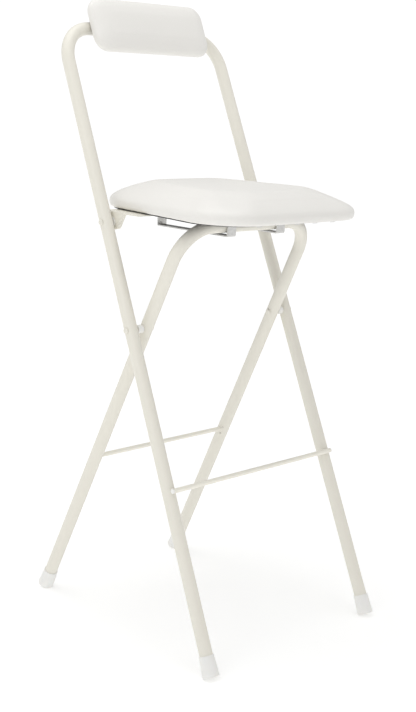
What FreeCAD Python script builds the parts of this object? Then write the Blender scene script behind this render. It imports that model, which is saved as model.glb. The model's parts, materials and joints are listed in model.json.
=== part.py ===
import FreeCAD, Part
import math
import os
import re

import Sketcher

# A folding bar stool: two inverted U frames of round tube cross at two rivets. The seat hinges on the
# back frame, and the rear frame's top bar slides in two guide straps under the seat. Millimetres, +Z up,
# front towards -Y, origin on the floor under the middle of the stool. Left is -X, as seen from the front.

SIZES = {
    # the whole stool
    "overall_height": 1050,
    "overall_width": 420,
    "overall_depth": 480,
    "seat_height": 750,
    # tube frames
    "tube_dia": 22,
    "tube_wall": 1.2,
    "back_lean": 23.7,
    "rear_lean": 24.1,
    "back_splay": 0.75,
    "rear_splay": 0.8,
    "back_bend_radius": 62,
    "rear_bend_radius": 62,
    "frame_gap": 11.8,
    # foot caps
    "cap_dia": 28,
    "cap_top_dia": 24.8,
    "cap_length": 34,
    "cap_floor": 4,
    "cap_rim_radius": 1.6,
    "cap_fit": 0.05,
    "foot_flat": 1.5,
    # footrest and crossbar
    "rod_dia": 8,
    "rod_wall": 1.2,
    "footrest_rise": 298,
    "footrest_sink": 0.6,
    "footrest_reach": 3,
    "crossbar_rise": 300,
    "crossbar_sink": 0.9,
    "plug_head": 1.6,
    "plug_depth": 8,
    "plug_fit": 0.05,
    # rivets
    "rivet_dia": 6,
    "rivet_play": 0.05,
    "rivet_head_dia": 10,
    "rivet_head_rise": 2.6,
    "spacer_dia": 14,
    "washer_dia": 16,
    "washer_thick": 1.5,
    "side_play": 0.3,
    # seat linkage
    "hinge_drop": 17,
    "bracket_thick": 2,
    "ear_radius": 12,
    "ear_front": 27,
    "ear_back": 21,
    "ear_depth": 8,
    "flange_front": 62,
    "flange_back": 28,
    "flange_width": 62,
    "bracket_screw_inset": 10,
    "strap_thick": 2,
    "strap_width": 20,
    "strap_spread": 120,
    "strap_slack": 3.6,
    "strap_foot": 18,
    "strap_length": 161.5,
    "strap_bend": 2.6,
    "bar_play": 0.5,
    "bead_width": 5,
    "bead_height": 1,
    "bead_inset": 12,
    # seat
    "seat_thick": 48,
    "seat_front_set_in": 22,
    "seat_rear_set_in": 72,
    "seat_front_edge": 194,
    "seat_rear_edge": 146,
    "seat_front_radius": 76,
    "seat_rear_radius": 54,
    "seat_edge_rise": 1,
    "seat_draw_in": 8,
    "seat_crown_reach": 86,
    "seat_board_thick": 12,
    "seat_board_inset": 11,
    # backrest
    "rest_width": 264,
    "rest_tall": 95,
    "rest_thick": 30,
    "rest_radius": 26,
    "rest_drop": 1.5,
    "rest_edge_rise": 3,
    "rest_draw_in": 7,
    "rest_crown_reach": 30,
    "rest_board_thick": 8,
    "rest_board_inset": 12,
    "rest_screw_spread": 150,
    # upholstery
    "cloth_thick": 0.8,
    "cover_thick": 1.2,
    "hem_width": 14,
    "foam_play": 0.3,
    "foam_tuck": 0.8,
    # screws and insert nuts
    "screw_dia": 5,
    "screw_play": 0.15,
    "screw_head_dia": 10,
    "screw_head_rise": 2.6,
    "screw_drive": 3,
    "nut_barrel_dia": 6.5,
    "nut_flange_dia": 16,
    "nut_flange_thick": 1.2,
    "nut_fit": 0.05,
    "nut_recess": 2,
    "nut_room": 0.5,
    # staples
    "staple_width": 11,
    "staple_wire": 0.9,
    "staple_leg": 5,
    "staple_inset": 15,
    "staple_pitch": 46,
}

# Sizes and places that follow from the ones above.
LAYOUT = {
    "tube_radius": "tube_dia / 2",
    "back_sin": "sin(back_lean * 1deg)",
    "back_cos": "cos(back_lean * 1deg)",
    "rear_sin": "sin(rear_lean * 1deg)",
    "rear_cos": "cos(rear_lean * 1deg)",
    # distance up the leg from the floor to the middle of the cap's bottom face
    "rim_reach": "cap_dia / 2 - cap_rim_radius",
    "front_foot_end": "(rim_reach * back_sin + cap_rim_radius - foot_flat) / back_cos - cap_rim_radius",
    "rear_foot_end": "(rim_reach * rear_sin + cap_rim_radius - foot_flat) / rear_cos - cap_rim_radius",
    # where the legs' centre lines meet the floor
    "front_foot_y": "overall_depth / 2 + (front_foot_end + cap_rim_radius) * back_sin"
                    " - rim_reach * back_cos - cap_rim_radius",
    "rear_foot_y": "overall_depth / 2 + (rear_foot_end + cap_rim_radius) * rear_sin"
                   " - rim_reach * rear_cos - cap_rim_radius",
    "front_foot_x": "(overall_width - cap_dia) / 2",
    # the crossing of the two frames
    "pivot_z": "(front_foot_y + rear_foot_y) / (back_sin / back_cos + rear_sin / rear_cos)",
    "pivot_y": "pivot_z * back_sin / back_cos - front_foot_y",
    "back_pivot_rise": "pivot_z / back_cos",
    "rear_pivot_rise": "pivot_z / rear_cos",
    "back_pivot_x": "front_foot_x - back_pivot_rise * tan(back_splay * 1deg)",
    "rear_pivot_x": "back_pivot_x - tube_dia - frame_gap",
    "rear_foot_x": "rear_pivot_x + rear_pivot_rise * tan(rear_splay * 1deg)",
    # the seat's under face, and its widths at the front and the rear corners
    "seat_base_z": "seat_height - seat_thick",
    "seat_front_width": "overall_width - 2 * seat_front_set_in",
    "seat_rear_width": "overall_width - 2 * seat_rear_set_in",
    # seat hinge on the back frame
    "hinge_z": "seat_base_z - hinge_drop",
    "back_hinge_rise": "hinge_z / back_cos",
    "hinge_x": "front_foot_x - back_hinge_rise * tan(back_splay * 1deg)",
    "hinge_y": "back_hinge_rise * back_sin - front_foot_y",
    "hinge_face_x": "hinge_x - tube_radius",
    "ear_x": "hinge_face_x - washer_thick - 2 * side_play - bracket_thick",
    # the rear frame's top bar, under the seat
    "bar_z": "seat_base_z - bar_play - tube_radius",
    "bar_rise": "(bar_z - pivot_z) / rear_cos",
    "bar_y": "pivot_y - bar_rise * rear_sin",
    "rear_bar_rise": "rear_pivot_rise + bar_rise",
    # guide straps, from the seat's base
    "strap_drop": "bar_play + tube_dia + strap_slack",
    "strap_front_y": "bar_y - tube_radius - bar_play",
    "strap_back_y": "strap_front_y + strap_length",
    "strap_front_screw_y": "strap_front_y - (strap_foot + strap_thick) / 2",
    "strap_back_screw_y": "strap_back_y + (strap_foot + strap_thick) / 2",
    # hinge bracket screws, two in each flange
    "bracket_screw_x": "ear_x + bracket_thick - flange_width + bracket_screw_inset",
    "bracket_front_screw_y": "hinge_y - flange_front + bracket_screw_inset",
    "bracket_back_screw_y": "hinge_y + flange_back - bracket_screw_inset",
    # levels through the cushions, from their back or under face
    "hem_top": "cloth_thick + cover_thick",
    "seat_board_top": "hem_top + seat_board_thick",
    "rest_board_top": "hem_top + rest_board_thick",
    "seat_edge_level": "seat_board_top + seat_edge_rise",
    "rest_edge_level": "rest_board_top + rest_edge_rise",
    # the top bar of the back frame, behind the middle of the backrest
    "back_bar_z": "overall_height - (tube_radius + rest_edge_level) * back_sin"
                  " - (rest_tall / 2 - rest_drop - rest_crown_reach) * back_cos"
                  " - hypot(rest_crown_reach * back_cos; (rest_thick - rest_edge_level) * back_sin)",
    "back_bar_rise": "back_bar_z / back_cos",
}

# Frames of reference: the planes of the two leg frames, the seat's under face and the backrest's back face.
PLANES = {
    "back_plane": "placement(vector(0; -front_foot_y; 0); rotation(vector(1; 0; 0); 90 - back_lean))",
    "rear_plane": "placement(vector(0; rear_foot_y; 0); rotation(vector(1; 0; 0); 90 + rear_lean))",
    "seat_plane": "placement(vector(0; 0; seat_base_z); rotation(vector(0; 0; 1); 0))",
    "rest_plane": "back_plane"
                  " * placement(vector(0; back_bar_rise - rest_drop; tube_radius);"
                  " rotation(vector(0; 0; 1); 0))",
    "pivot_line": "placement(vector(0; pivot_y; pivot_z); rotation(vector(0; 0; 1); 0))",
    "hinge_line": "placement(vector(0; hinge_y; hinge_z); rotation(vector(0; 0; 1); 0))",
}

# The cushions' outlines: the corners' x and y, and the radius that rounds each.
SEAT_CORNERS = [
    ("-seat_front_width / 2", "-seat_front_edge", "seat_front_radius"),
    ("seat_front_width / 2", "-seat_front_edge", "seat_front_radius"),
    ("seat_rear_width / 2", "seat_rear_edge", "seat_rear_radius"),
    ("-seat_rear_width / 2", "seat_rear_edge", "seat_rear_radius"),
]
REST_CORNERS = [
    ("-rest_width / 2", "-rest_tall / 2", "rest_radius"),
    ("rest_width / 2", "-rest_tall / 2", "rest_radius"),
    ("rest_width / 2", "rest_tall / 2", "rest_radius"),
    ("-rest_width / 2", "rest_tall / 2", "rest_radius"),
]

# Shares of a height or width that its rounded edge takes.
RIVET_ROUNDING = 0.9
SCREW_ROUNDING = 0.7
BEAD_ROUNDING = 0.8
BEAD_END_ROUNDING = 0.45
EAR_ROUNDING = 0.8
# How deep a screw's drive goes into its head, as a share of the head.
DRIVE_SHARE = 0.6
# Lengths closer than this are the same.
NEAR = 0.01

OWNER = {name: "Sizes." for name in SIZES}
OWNER.update({name: "Layout." for name in list(LAYOUT) + list(PLANES)})

ORIGIN = -1
H_AXIS = -1
V_AXIS = -2
START, END, CENTRE = 1, 2, 3
UP = FreeCAD.Vector(0, 0, 1)

doc = FreeCAD.newDocument("folding_bar_stool")
sheet = doc.addObject("Spreadsheet::Sheet", "Sizes")
layout = doc.addObject("App::VarSet", "Layout")


def full(expression):
    """Spell out which object holds each name in an expression."""
    return re.sub(r"[a-z][a-z_0-9]*", lambda word: OWNER.get(word[0], "") + word[0], expression)


def number(expression):
    """The value of an expression now."""
    result = layout.evalExpression(full(expression))
    return float(getattr(result, "Value", result))


def fill_sheet():
    """Write each driving dimension in a row of its own, with its name as the alias."""
    for row, (name, size) in enumerate(SIZES.items(), start=1):
        sheet.set(f"A{row}", name)
        sheet.set(f"B{row}", str(size))
        sheet.setAlias(f"B{row}", name)
    doc.recompute()


def fill_layout():
    """Add each derived size and each placement with its expression."""
    for kind, table in (("App::PropertyFloat", LAYOUT), ("App::PropertyPlacement", PLANES)):
        for name, expression in table.items():
            layout.addProperty(kind, name)
            layout.setExpression(name, full(expression))
    doc.recompute()


class Outline:
    """A sketch on one of a body's own planes, with every dimension tied to an expression."""

    def __init__(self, body, role, lift=None):
        self.sketch = body.newObject("Sketcher::SketchObject", "Outline")
        plane = next(item for item in body.Origin.OriginFeatures if item.Role == role)
        self.sketch.AttachmentSupport = [(plane, "")]
        self.sketch.MapMode = "FlatFace"
        if lift:
            self.sketch.setExpression("AttachmentOffset.Base.z", full(lift))

    def relate(self, kind, *parts):
        """Add a constraint and give its number."""
        return self.sketch.addConstraint(Sketcher.Constraint(kind, *parts))

    def size(self, kind, parts, expression):
        """Add a dimension that follows an expression."""
        index = self.relate(kind, *parts, number(expression))
        self.sketch.setExpression(f"Constraints[{index}]", full(expression))

    def spot(self, geometry, point, x, y):
        """Hold a point at x, y from the sketch's origin. A plain 0 puts it on the axis."""
        if x == "0":
            self.relate("PointOnObject", geometry, point, V_AXIS)
        else:
            self.size("DistanceX", (ORIGIN, START, geometry, point), x)
        if y == "0":
            self.relate("PointOnObject", geometry, point, H_AXIS)
        else:
            self.size("DistanceY", (ORIGIN, START, geometry, point), y)

    def circle(self, x, y, diameter):
        """A full circle about x, y."""
        centre = FreeCAD.Vector(number(x), number(y), 0)
        geometry = self.sketch.addGeometry(Part.Circle(centre, UP, number(diameter) / 2))
        self.spot(geometry, CENTRE, x, y)
        self.size("Diameter", (geometry,), diameter)
        return self

    def polygon(self, corners):
        """A closed outline of straight lines through the corners."""
        spots = [FreeCAD.Vector(number(x), number(y), 0) for x, y in corners]
        lines = [self.sketch.addGeometry(Part.LineSegment(here, there))
                 for here, there in zip(spots, spots[1:] + spots[:1])]
        for index, (x, y) in enumerate(corners):
            self.relate("Coincident", lines[index - 1], END, lines[index], START)
            self.spot(lines[index], START, x, y)
        return self

    def rounded(self, corners):
        """A closed outline, anticlockwise, whose corners are x, y and the radius that rounds them."""
        spots = [FreeCAD.Vector(number(x), number(y), 0) for x, y, radius in corners]
        count = len(corners)
        arcs, entries, exits = [], [], []
        for index, (x, y, radius) in enumerate(corners):
            here = spots[index]
            back = (spots[index - 1] - here).normalize()
            ahead = (spots[(index + 1) % count] - here).normalize()
            half = back.getAngle(ahead) / 2
            reach = number(radius) / math.tan(half)
            centre = here + (back + ahead).normalize() * (number(radius) / math.sin(half))
            entries.append(here + back * reach)
            exits.append(here + ahead * reach)
            first, last = [math.atan2(tip.y - centre.y, tip.x - centre.x) for tip in (entries[-1], exits[-1])]
            circle = Part.Circle(centre, UP, number(radius))
            arc = Part.ArcOfCircle(circle, first, last if last > first else last + 2 * math.pi)
            arcs.append(self.sketch.addGeometry(arc))
        lines = [self.sketch.addGeometry(Part.LineSegment(exits[index], entries[(index + 1) % count]))
                 for index in range(count)]
        for index, (x, y, radius) in enumerate(corners):
            corner = self.sketch.addGeometry(Part.Point(spots[index]), True)
            self.spot(corner, START, x, y)
            self.relate("PointOnObject", corner, START, lines[index - 1])
            self.relate("PointOnObject", corner, START, lines[index])
            self.relate("Tangent", lines[index - 1], END, arcs[index], START)
            self.relate("Tangent", arcs[index], END, lines[index], START)
            self.size("Radius", (arcs[index],), radius)
        return self


class Piece:
    """One piece of the stool, a body with a label and a place of its own."""

    made = []

    def __init__(self, label, place=None, kept=True):
        self.body = doc.addObject("PartDesign::Body", label)
        self.body.Label = label
        if place:
            self.body.setExpression("Placement", full(place))
        if kept:
            Piece.made.append(self.body)

    def outline(self, role, lift=None):
        """A new sketch on the body's own plane, lifted off it if asked."""
        return Outline(self.body, role, lift)

    def feature(self, kind, outline):
        """Add a feature that is made from a sketch."""
        item = self.body.newObject(f"PartDesign::{kind}", kind)
        item.Profile = outline.sketch
        return item

    def pad(self, outline, length, side="One side", backwards=False):
        """Add material along the sketch's normal."""
        item = self.feature("Pad", outline)
        item.setExpression("Length", full(length))
        item.SideType = side
        item.Reversed = backwards
        return item

    def pocket(self, outline, depth, backwards=False):
        """Cut to a depth against the sketch's normal."""
        item = self.feature("Pocket", outline)
        item.setExpression("Length", full(depth))
        item.Reversed = backwards
        return item

    def bore(self, outline):
        """Cut right through on both sides of the sketch."""
        item = self.feature("Pocket", outline)
        item.Type = "ThroughAll"
        item.SideType = "Symmetric"
        return item

    def turn(self, outline, axis):
        """Turn the sketch right round one of its axes."""
        item = self.feature("Revolution", outline)
        item.ReferenceAxis = (outline.sketch, [axis])
        item.Angle = 360
        return item

    def loft(self, kind, outlines):
        """A form through several sketches, straight from each to the next."""
        item = self.feature(kind, outlines[0])
        item.Sections = [outline.sketch for outline in outlines[1:]]
        item.Ruled = True
        return item

    def mirror(self, features):
        """Repeat features on the other side of the body's own YZ plane."""
        item = self.body.newObject("PartDesign::Mirrored", "Mirrored")
        item.Originals = features
        plane = next(face for face in self.body.Origin.OriginFeatures if face.Role == "YZ_Plane")
        item.MirrorPlane = (plane, [""])
        self.body.Tip = item
        return item

    def fillet(self, radius, chosen):
        """Round the edges of the shape so far that a test chooses."""
        doc.recompute()
        base = self.body.Tip
        names = [f"Edge{index}" for index, edge in enumerate(base.Shape.Edges, start=1) if chosen(edge)]
        item = self.body.newObject("PartDesign::Fillet", "Fillet")
        item.Base = (base, names)
        item.setExpression("Radius", full(radius))
        return item


def same(first, second):
    """Whether two lengths are the same."""
    return abs(first - second) < NEAR


def place_at(x, y, z):
    """A placement that only moves, as an expression."""
    return f"placement(vector({x}; {y}; {z}); rotation(vector(0; 0; 1); 0))"


def is_ring(edge, radius):
    """Whether an edge is a full circle of a radius."""
    return edge.isClosed() and isinstance(edge.Curve, Part.Circle) and same(edge.Curve.Radius, radius)


def bent_tube(label, place, top, foot_x, foot_end, splay, bend, pierce, bar_holes=()):
    """An inverted U of tube: its legs spread by a splay angle and its top corners are bends."""
    piece = Piece(label, place)
    route = piece.outline("XY_Plane")
    height, radius, angle = number(top), number(bend), math.radians(number(splay))
    end_rise = f"({foot_end} + cap_floor)"
    end_x = f"{foot_x} - {end_rise} * tan({splay} * 1deg)"
    foot = FreeCAD.Vector(number(end_x), number(end_rise), 0)
    centre = FreeCAD.Vector(foot.x - (height - radius - foot.y) * math.tan(angle) - radius / math.cos(angle),
                            height - radius, 0)
    knee = centre + FreeCAD.Vector(math.cos(angle), math.sin(angle), 0) * radius
    crest = centre + FreeCAD.Vector(0, radius, 0)
    bar = route.sketch.addGeometry(Part.LineSegment(FreeCAD.Vector(0, height, 0), crest))
    corner = route.sketch.addGeometry(Part.ArcOfCircle(Part.Circle(centre, UP, radius), angle, math.pi / 2))
    leg = route.sketch.addGeometry(Part.LineSegment(foot, knee))
    route.spot(bar, START, "0", top)
    route.relate("Horizontal", bar)
    route.relate("Tangent", bar, END, corner, END)
    route.relate("Tangent", corner, START, leg, END)
    route.size("Radius", (corner,), bend)
    route.spot(leg, START, end_x, end_rise)
    index = route.relate("Angle", leg, math.pi / 2 + angle)
    route.sketch.setExpression(f"Constraints[{index}]", full(f"(90 + {splay}) * 1deg"))
    ring = piece.outline("YZ_Plane")
    ring.circle(top, "0", "tube_dia").circle(top, "0", "tube_dia - 2 * tube_wall")
    half = piece.feature("AdditivePipe", ring)
    half.Spine = (route.sketch, ["Edge1", "Edge2", "Edge3"])
    piece.mirror([half])
    across = piece.outline("YZ_Plane")
    for rise in pierce:
        across.circle(rise, "0", "rivet_dia + 2 * rivet_play")
    piece.bore(across)
    if bar_holes:
        along = piece.outline("XY_Plane")
        for x in bar_holes:
            along.circle(x, top, "screw_dia + 2 * screw_play")
        piece.bore(along)


def foot_cap(label, plane, foot_x, side, foot_end, splay):
    """A flared cup of plastic over the leg's end, worn flat where it meets the floor."""
    leg = f"placement(vector({side} * {foot_x}; 0; 0); rotation(vector(0; 0; 1); {side} * {splay}))"
    blank = Piece(f"{label}_blank", f"{plane} * {leg} * {place_at('0', foot_end, '0')}", kept=False)
    bore = "tube_radius + cap_fit"
    section = blank.outline("XY_Plane").polygon([
        ("0", "0"), ("cap_dia / 2", "0"), ("cap_top_dia / 2", "cap_length"),
        (bore, "cap_length"), (bore, "cap_floor"), ("0", "cap_floor"),
    ])
    blank.turn(section, "V_Axis")
    blank.fillet("cap_rim_radius", lambda edge: is_ring(edge, number("cap_dia / 2")))
    cap = doc.addObject("Part::Cut", label)
    cap.Label = label
    cap.Base = blank.body
    cap.Tool = floor
    Piece.made.append(cap)


def floor_block():
    """The ground below the stool, which trims the caps."""
    block = doc.addObject("Part::Box", "Floor")
    sides = {"Length": "overall_width * 2", "Width": "overall_depth * 2", "Height": "cap_dia"}
    for side, expression in sides.items():
        block.setExpression(side, full(expression))
    block.setExpression("Placement.Base.x", full("-overall_width"))
    block.setExpression("Placement.Base.y", full("-overall_depth"))
    block.setExpression("Placement.Base.z", full("-cap_dia"))
    return block


def footrest():
    """The rod welded across the front of the front legs, with a plug in each end."""
    centre = ("footrest_rise", "tube_radius + rod_dia / 2 - footrest_sink")
    end = "front_foot_x - footrest_rise * tan(back_splay * 1deg) + footrest_reach"
    rod = Piece("front_footrest", "back_plane")
    ring = rod.outline("YZ_Plane").circle(*centre, "rod_dia").circle(*centre, "rod_dia - 2 * rod_wall")
    rod.pad(ring, f"2 * ({end})", side="Symmetric")
    plugs = Piece("footrest_end_plugs", "back_plane")
    head = plugs.pad(plugs.outline("YZ_Plane", end).circle(*centre, "rod_dia"), "plug_head")
    stub = plugs.outline("YZ_Plane", end).circle(*centre, "rod_dia - 2 * rod_wall - 2 * plug_fit")
    plugs.mirror([head, plugs.pad(stub, "plug_depth", backwards=True)])


def crossbar():
    """The rod welded between the rear legs."""
    rod = Piece("rear_crossbar", "rear_plane")
    end = "rear_foot_x - crossbar_rise * tan(rear_splay * 1deg) - tube_radius + crossbar_sink"
    ring = rod.outline("YZ_Plane")
    ring.circle("crossbar_rise", "0", "rod_dia").circle("crossbar_rise", "0", "rod_dia - 2 * rod_wall")
    rod.pad(ring, f"2 * ({end})", side="Symmetric")


def rivets(label, line, inner, outer):
    """A rivet on each side, its shank from the inner face to the outer face and a round head on each end."""
    piece = Piece(label, line)
    head, shank = "rivet_head_dia / 2", "rivet_dia / 2"
    far_inner, far_outer = f"{inner} - rivet_head_rise", f"{outer} + rivet_head_rise"
    section = piece.outline("XY_Plane").polygon([
        (far_inner, "0"), (far_outer, "0"), (far_outer, head), (outer, head),
        (outer, shank), (inner, shank), (inner, head), (far_inner, head),
    ])
    body = piece.turn(section, "H_Axis")
    tips = [number(far_inner), number(far_outer)]

    def on_tip(edge):
        return is_ring(edge, number(head)) and any(same(edge.CenterOfMass.x, tip) for tip in tips)

    piece.mirror([body, piece.fillet(f"rivet_head_rise * {RIVET_ROUNDING}", on_tip)])


def rings(label, line, inner, outer, diameter):
    """A plain ring on each side's rivet, from the inner face to the outer face."""
    piece = Piece(label, line)
    section = piece.outline("YZ_Plane", inner)
    section.circle("0", "0", diameter).circle("0", "0", "rivet_dia + 2 * rivet_play")
    piece.mirror([piece.pad(section, f"{outer} - ({inner})")])


def guide_strap(label, side):
    """A flat strap whose ends are bent up to the seat, with a pressed bead along its underside."""
    strap = Piece(label, f"seat_plane * {place_at(f'{side} * strap_spread / 2', '0', '0')}")
    front, back = "strap_front_y", "strap_back_y"
    profile = strap.outline("YZ_Plane").polygon([
        (f"{front} - strap_foot", "0"), (f"{front} - strap_foot", "-strap_thick"),
        (f"{front} - strap_thick", "-strap_thick"), (f"{front} - strap_thick", "-strap_drop - strap_thick"),
        (f"{back} + strap_thick", "-strap_drop - strap_thick"), (f"{back} + strap_thick", "-strap_thick"),
        (f"{back} + strap_foot", "-strap_thick"), (f"{back} + strap_foot", "0"),
        (back, "0"), (back, "-strap_drop"), (front, "-strap_drop"), (front, "0"),
    ])
    strap.pad(profile, "strap_width", side="Symmetric")
    under = "-strap_drop - strap_thick"
    bends = [(number(y), number(z)) for y, z in (
        (f"{front} - strap_thick", under), (f"{back} + strap_thick", under), (front, "0"), (back, "0"))]

    def on_bend(edge):
        middle = edge.CenterOfMass
        across = same(edge.Length, number("strap_width"))
        return across and any(same(middle.y, y) and same(middle.z, z) for y, z in bends)

    strap.fillet("strap_bend", on_bend)
    half, near, far = "bead_width / 2", f"{front} + bead_inset", f"{back} - bead_inset"
    end = f"bead_width * {BEAD_END_ROUNDING}"
    bead = strap.outline("XY_Plane", under).rounded([
        (f"-{half}", near, end), (half, near, end), (half, far, end), (f"-{half}", far, end)])
    strap.pad(bead, "bead_height", backwards=True)
    lowest = number(f"{under} - bead_height")
    strap.fillet(f"bead_height * {BEAD_ROUNDING}", lambda edge: same(edge.BoundBox.ZMax, lowest))
    holes = strap.outline("XY_Plane")
    for y in ("strap_front_screw_y", "strap_back_screw_y"):
        holes.circle("0", y, "screw_dia + 2 * screw_play")
    strap.bore(holes)


def hinge_bracket(label, side):
    """A pressed ear beside the back frame's leg, shaped like a shallow cup, with a flange under the seat."""
    bracket = Piece(label, "seat_plane")
    outer = f"{side} * (ear_x + bracket_thick)"
    inward = side > 0

    def ear(rim, lift):
        """The ear's outline, drawn in by a rim."""
        lower = f"(ear_radius - {rim})"
        corner = f"{lower} * {EAR_ROUNDING}"
        return bracket.outline("YZ_Plane", lift).rounded([
            (f"hinge_y - {lower}", f"-hinge_drop - {lower}", corner),
            (f"hinge_y + {lower}", f"-hinge_drop - {lower}", corner),
            (f"hinge_y + ear_back - {rim}", f"-{rim}", "bracket_thick"),
            (f"hinge_y - ear_front + {rim}", f"-{rim}", "bracket_thick")])

    bracket.pad(ear("0", outer), "ear_depth", backwards=inward)
    bracket.pocket(ear("bracket_thick", f"{side} * (ear_x + bracket_thick - ear_depth)"),
                   "ear_depth - bracket_thick", backwards=inward)
    near, far = "hinge_y - flange_front", "hinge_y + flange_back"
    inner_x = f"{side} * (ear_x + bracket_thick - flange_width)"
    inner = [(inner_x, near, "ear_depth"), (inner_x, far, "ear_depth")]
    edge = [(outer, near, "bracket_thick"), (outer, far, "bracket_thick")]
    first, second = (inner, edge) if side > 0 else (edge, inner)
    flange = bracket.outline("XY_Plane").rounded([first[0], second[0], second[1], first[1]])
    bracket.pad(flange, "bracket_thick", backwards=True)
    bracket.bore(bracket.outline("YZ_Plane").circle("hinge_y", "-hinge_drop", "rivet_dia + 2 * rivet_play"))
    holes = bracket.outline("XY_Plane")
    for y in ("bracket_front_screw_y", "bracket_back_screw_y"):
        holes.circle(f"{side} * bracket_screw_x", y, "screw_dia + 2 * screw_play")
    bracket.bore(holes)


def mirrored_spots(x, levels):
    """Spots at x on both sides, at each y."""
    return [(f"{side} * ({x})", y) for side in (-1, 1) for y in levels]


def dots(outline, spots, diameter):
    """Add a circle to an outline at each spot."""
    for x, y in spots:
        outline.circle(x, y, diameter)
    return outline


def screws(label, place, spots, grip, top):
    """Pan-head screws that hold a grip below a cushion's base and end level with the insert nuts' tops."""
    piece = Piece(label, place)
    heads = dots(piece.outline("XY_Plane", f"-({grip})"), spots, "screw_head_dia")
    piece.pad(heads, "screw_head_rise", backwards=True)
    lowest = f"-({grip}) - screw_head_rise"

    def on_top(edge):
        return is_ring(edge, number("screw_head_dia / 2")) and same(edge.CenterOfMass.z, number(lowest))

    piece.fillet(f"screw_head_rise * {SCREW_ROUNDING}", on_top)
    shanks = dots(piece.outline("XY_Plane", f"-({grip})"), spots, "screw_dia")
    piece.pad(shanks, f"{grip} + {top} + nut_flange_thick")
    sockets = dots(piece.outline("XY_Plane", lowest), spots, "screw_drive")
    piece.pocket(sockets, f"screw_head_rise * {DRIVE_SHARE}", backwards=True)


def insert_nuts(label, place, spots, board, top):
    """Flanged nuts let into a board from its padded side."""
    piece = Piece(label, place)
    flanges = dots(piece.outline("XY_Plane", top), spots, "nut_flange_dia")
    piece.pad(dots(flanges, spots, "screw_dia + 2 * screw_play"), "nut_flange_thick")
    barrels = dots(piece.outline("XY_Plane", top), spots, "nut_barrel_dia")
    piece.pad(dots(barrels, spots, "screw_dia + 2 * screw_play"), f"{board} - nut_recess", backwards=True)


class Cushion:
    """A board with foam on it in a cover, closed by a cloth. Its sizes share a prefix."""

    # angles along the drawn-in side and along the crown, in degrees
    LOWER = (0, 30, 60)
    UPPER = (18, 36, 54, 72, 90)
    # crown reaches over which a corner's radius would shrink to nothing
    CORNER_SHRINK = 1.6

    def __init__(self, prefix, place, corners, spots):
        """The spots are where its screws go."""
        self.prefix = prefix
        self.place = place
        self.corners = corners
        self.spots = spots
        self.top = f"{prefix}_board_top"

    def ring(self, piece, level, inset):
        """The outline at a level, drawn in by an inset, with its corner radii drawn in as well."""
        shrink = f"(1 - ({inset}) / ({self.prefix}_crown_reach * {self.CORNER_SHRINK}))"

        def drawn(edge):
            return f"{edge} {'+' if edge.startswith('-') else '-'} ({inset})"

        return piece.outline("XY_Plane", level).rounded([
            (drawn(x), drawn(y), f"{radius} * {shrink}") for x, y, radius in self.corners])

    def crown(self, thick, skin):
        """Levels and insets from the fullest line over the crown, a quarter of an ellipse."""
        edge, reach = f"{self.prefix}_edge_level", f"{self.prefix}_crown_reach"
        yield edge, skin
        for angle in map(math.radians, self.UPPER):
            yield (f"{edge} + ({thick} - {edge}) * {math.sin(angle):.6f}",
                   f"{reach} * {1 - math.cos(angle):.6f} + {skin}")

    def drawn_in(self, bottom, skin):
        """Levels and insets from the base up to the fullest line, where the side is drawn in."""
        edge, draw = f"{self.prefix}_edge_level", f"{self.prefix}_draw_in"
        for angle in map(math.radians, self.LOWER):
            yield (f"{edge} - ({edge} - {bottom}) * {math.cos(angle):.6f}",
                   f"{draw} * {1 - math.sin(angle):.6f} + {skin}")

    def swell(self, piece, kind, levels):
        """A form through the outlines at the levels and insets."""
        return piece.loft(kind, [self.ring(piece, level, inset) for level, inset in levels])

    def cover(self, label):
        """A skin over foam and board, with a hem that turns in below."""
        piece = Piece(label, self.place)
        thick = f"{self.prefix}_thick"
        self.swell(piece, "AdditiveLoft", [*self.drawn_in("cloth_thick", "0"), *self.crown(thick, "0")])
        self.swell(piece, "SubtractiveLoft", [*self.drawn_in("hem_top", "cover_thick"),
                                              *self.crown(f"({thick} - cover_thick)", "cover_thick")])
        mouth = self.ring(piece, "cloth_thick", f"{self.prefix}_draw_in + hem_width")
        piece.pocket(mouth, "cover_thick", backwards=True)
        holes = dots(piece.outline("XY_Plane", "cloth_thick"), self.spots, "screw_dia + 2 * screw_play")
        piece.pocket(holes, "cover_thick", backwards=True)

    def foam(self, label):
        """The foam on the board, with room for the nuts' flanges."""
        piece = Piece(label, self.place)
        skin = "(cover_thick + foam_play)"
        crown = self.crown(f"({self.prefix}_thick - {skin})", skin)
        self.swell(piece, "AdditiveLoft", [(self.top, f"{skin} + foam_tuck"), *crown])
        room = dots(piece.outline("XY_Plane", self.top), self.spots, "nut_flange_dia + 2 * nut_room")
        piece.pocket(room, "nut_flange_thick + nut_room", backwards=True)

    def board(self, label):
        """The plywood board, with a hole for each nut."""
        piece = Piece(label, self.place)
        piece.pad(self.ring(piece, "hem_top", f"{self.prefix}_board_inset"), f"{self.prefix}_board_thick")
        piece.bore(dots(piece.outline("XY_Plane"), self.spots, "nut_barrel_dia + 2 * nut_fit"))

    def cloth(self, label):
        """The thin cloth that closes the back or underside."""
        piece = Piece(label, self.place)
        piece.pad(self.ring(piece, "cloth_thick", f"{self.prefix}_draw_in"), "cloth_thick", backwards=True)
        piece.bore(dots(piece.outline("XY_Plane"), self.spots, "screw_dia + 2 * screw_play"))


def under_flange(spot):
    """Whether a staple at a spot would lie under a hinge bracket's flange."""
    reach = number("staple_width / 2")
    near, far = number("hinge_y - flange_front") - reach, number("hinge_y + flange_back") + reach
    return abs(spot.x) > number("ear_x + bracket_thick - flange_width") - reach and near < spot.y < far


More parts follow.
